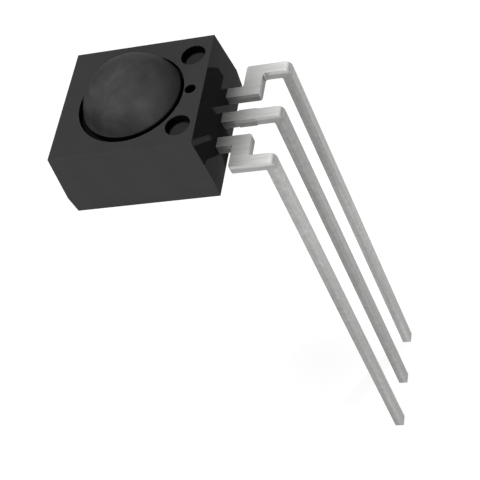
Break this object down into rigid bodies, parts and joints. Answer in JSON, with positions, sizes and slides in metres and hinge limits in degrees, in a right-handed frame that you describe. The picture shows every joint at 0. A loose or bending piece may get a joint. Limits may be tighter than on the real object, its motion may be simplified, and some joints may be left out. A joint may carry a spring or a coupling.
{
  "type": "infrared receiver module",
  "caption": "Black moulded infrared receiver with a domed lens and flat leads that step apart and turn down past its rear face for a circuit board.",
  "frame": {"origin": "centre of the rear face, which lies on the circuit board", "axes": "+Z along the lens axis away from the board, +X towards the side where the leads leave, +Y across the leads towards the supply lead"},
  "size_m": [0.0094, 0.0062, 0.0249],
  "materials": {
    "black_epoxy": "smooth moulded surface with a low sheen",
    "tinned_lead": "dull tin plating",
    "silicon": "polished wafer",
    "silver_glue": "cured silver-filled adhesive",
    "gold_wire": "drawn gold"
  },
  "bodies": {
    "root": {"moulded_body": "black_epoxy", "output_lead": "tinned_lead", "ground_lead": "tinned_lead", "supply_lead": "tinned_lead", "photodiode_chip": "silicon", "photodiode_glue": "silver_glue", "amplifier_chip": "silicon", "amplifier_glue": "silver_glue", "diode_wire": "gold_wire", "ground_wire": "gold_wire", "supply_wire": "gold_wire", "output_wire": "gold_wire"}
  },
  "joints": []
}
